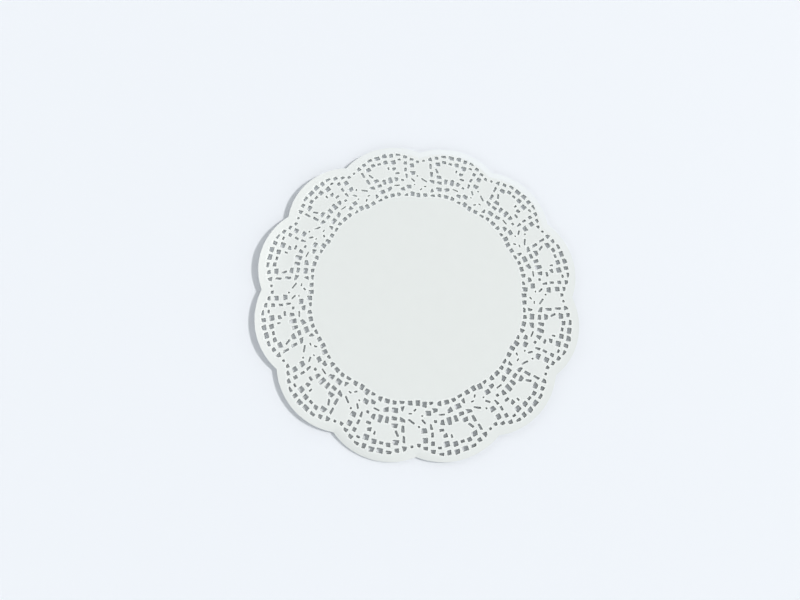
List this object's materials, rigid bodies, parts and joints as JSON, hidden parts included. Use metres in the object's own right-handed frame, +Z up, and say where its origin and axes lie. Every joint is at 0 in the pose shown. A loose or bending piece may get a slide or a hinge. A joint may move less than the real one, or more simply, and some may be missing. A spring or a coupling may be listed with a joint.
{
  "type": "paper lace doily",
  "caption": "Round white paper doily with a plain centre, a die-cut and embossed lace border and a scalloped edge; laid under cakes or plates.",
  "frame": {"origin": "centre of the plain disc's underside, on the surface the doily lies on", "axes": "+Z up, out of the upper face; +X points at a notch between two lobes, and the notches repeat every 30 degrees"},
  "size_m": [0.2943, 0.2941, 0.0038],
  "materials": {
    "paper": "matte white uncoated paper, embossed"
  },
  "bodies": {
    "root": {"doily": "paper"}
  },
  "joints": []
}
